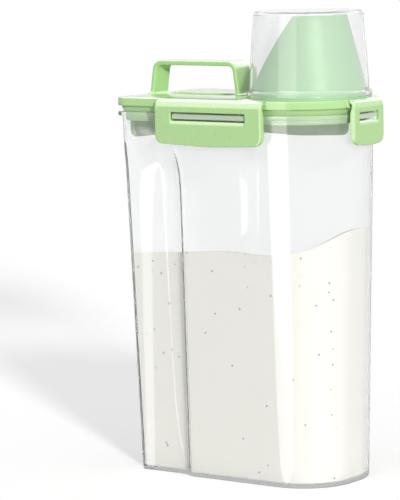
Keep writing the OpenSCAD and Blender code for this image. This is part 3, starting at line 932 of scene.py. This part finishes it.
shader.inputs["Roughness"].default_value = 0.9
shader.inputs["Specular IOR Level"].default_value = 0.0


def strip(nodes, links, place, foot, edges, feather):
    """1 between two directions from a foot, seen from above and counted from the front to the right."""
    from_foot = nodes.new("ShaderNodeVectorMath")
    from_foot.operation = "SUBTRACT"
    from_foot.inputs[1].default_value = foot
    links.new(place, from_foot.inputs[0])
    split = nodes.new("ShaderNodeSeparateXYZ")
    links.new(from_foot.outputs["Vector"], split.inputs["Vector"])
    towards_front = maths(nodes, links, "MULTIPLY", split.outputs["Y"], -1.0)
    turn = maths(nodes, links, "ARCTAN2", split.outputs["X"], towards_front)
    ramps = []
    for edge, run in zip(edges, (feather, -feather)):
        ramp = nodes.new("ShaderNodeMapRange")
        ramp.interpolation_type = "SMOOTHSTEP"
        ramp.inputs["From Min"].default_value = radians(edge - run / 2)
        ramp.inputs["From Max"].default_value = radians(edge + run / 2)
        links.new(turn, ramp.inputs["Value"])
        ramps.append(ramp.outputs["Result"])
    return maths(nodes, links, "MULTIPLY", *ramps)


place = nodes.new("ShaderNodeNewGeometry").outputs["Position"]
distance = nodes.new("ShaderNodeVectorMath")
distance.operation = "LENGTH"
links.new(place, distance.inputs[0])
near_by = maths(nodes, links, "LESS_THAN", distance.outputs["Value"], grip_strip_reach)
grip_strip = maths(nodes, links, "MULTIPLY",
                   strip(nodes, links, place, *grip_strip_right, grip_strip_feather),
                   strip(nodes, links, place, *grip_strip_left, grip_strip_feather))
grip_strip = maths(nodes, links, "MULTIPLY", near_by, grip_strip)
wide_strip = strip(nodes, links, place, strip_foot, strip_edges, strip_feather)
strips = maths(nodes, links, "MULTIPLY", maths(nodes, links, "ADD", wide_strip, grip_strip), strip_light)

# The floor in front of the object, as its inner walls mirror it
ahead = nodes.new("ShaderNodeVectorMath")
ahead.operation = "DOT_PRODUCT"
ahead.inputs[1].default_value = (sin(front_turn), -cos(front_turn), 0)
links.new(place, ahead.inputs[0])
in_front = maths(nodes, links, "GREATER_THAN", ahead.outputs["Value"], front_start)
light_path = nodes.new("ShaderNodeLightPath")
through = light_path.outputs["Is Transmission Ray"]
from_within = maths(nodes, links, "MULTIPLY", in_front, through)
outer_mirror = maths(nodes, links, "SUBTRACT", light_path.outputs["Is Glossy Ray"], through)
mirror_share = maths(nodes, links, "MAXIMUM", outer_mirror, from_within)
seen = maths(nodes, links, "MAXIMUM", light_path.outputs["Is Camera Ray"], through)
shader.inputs["Emission Color"].default_value = (1, 1, 1, 1)
links.new(maths(nodes, links, "MULTIPLY", seen, floor_glow), shader.inputs["Emission Strength"])
plain_level = nodes.new("ShaderNodeMapRange")
plain_level.inputs["To Min"].default_value = floor_mirrored
plain_level.inputs["To Max"].default_value = floor_mirrored_within
links.new(from_within, plain_level.inputs["Value"])
mirrored = nodes.new("ShaderNodeEmission")
links.new(maths(nodes, links, "ADD", strips, plain_level.outputs["Result"]), mirrored.inputs["Strength"])
either = nodes.new("ShaderNodeMixShader")
links.new(mirror_share, either.inputs["Fac"])
links.new(shader.outputs["BSDF"], either.inputs[1])
links.new(mirrored.outputs["Emission"], either.inputs[2])
links.new(either.outputs["Shader"], nodes["Material Output"].inputs["Surface"])
floor.data.materials.append(floor_look)

sun_data = bpy.data.lights.new("sun", "SUN")
sun_data.energy = sun_strength
sun_data.angle = sun_spread
sun = bpy.data.objects.new("sun", sun_data)
sun.rotation_mode = "QUATERNION"
sunward = Vector((cos(sun_rise) * sin(sun_turn), -cos(sun_rise) * cos(sun_turn), sin(sun_rise)))
sun.rotation_quaternion = sunward.to_track_quat("Z", "Y")
sun.visible_glossy = False
bpy.context.scene.collection.objects.link(sun)

world = bpy.data.worlds.new("surround")
world.use_nodes = True
bpy.context.scene.world = world
nodes, links = world.node_tree.nodes, world.node_tree.links
light_path = nodes.new("ShaderNodeLightPath")
seen = maths(nodes, links, "MAXIMUM", light_path.outputs["Is Camera Ray"],
             light_path.outputs["Is Transmission Ray"])
seen = maths(nodes, links, "MAXIMUM", seen, light_path.outputs["Is Glossy Ray"])
facing = nodes.new("ShaderNodeTexCoord").outputs["Generated"]
height = nodes.new("ShaderNodeSeparateXYZ")
links.new(facing, height.inputs["Vector"])
above = maths(nodes, links, "MAXIMUM", height.outputs["Z"], 0.0)
above = maths(nodes, links, "MULTIPLY", above, light_from_above)
level = nodes.new("ShaderNodeMapRange")
links.new(maths(nodes, links, "ADD", above, surround_light), level.inputs["To Min"])
level.inputs["To Max"].default_value = surround_seen
links.new(seen, level.inputs["Value"])
far_strip = strip(nodes, links, facing, (0, 0, 0), strip_edges, strip_feather)
strips = maths(nodes, links, "MULTIPLY", far_strip, strip_light - surround_seen)
only_mirrored = maths(nodes, links, "SUBTRACT", light_path.outputs["Is Glossy Ray"],
                      light_path.outputs["Is Transmission Ray"])
overhead = nodes.new("ShaderNodeMapRange")
overhead.interpolation_type = "SMOOTHSTEP"
overhead.inputs["From Min"].default_value, overhead.inputs["From Max"].default_value = overhead_edge
overhead.inputs["To Max"].default_value = overhead_light
links.new(height.outputs["Z"], overhead.inputs["Value"])
lamps = maths(nodes, links, "ADD", strips, overhead.outputs["Result"])
glossy_strips = maths(nodes, links, "MULTIPLY", lamps, maths(nodes, links, "MAXIMUM", only_mirrored, 0.0))
background = nodes["Background"]
background.inputs["Color"].default_value = (1, 1, 1, 1)
links.new(maths(nodes, links, "ADD", level.outputs["Result"], glossy_strips), background.inputs["Strength"])
bpy.context.scene.view_settings.view_transform = "Standard"
bpy.context.scene.cycles.max_bounces = 32
bpy.context.scene.cycles.transmission_bounces = 32
bpy.context.scene.cycles.glossy_bounces = 16
bpy.context.scene.cycles.transparent_max_bounces = 16
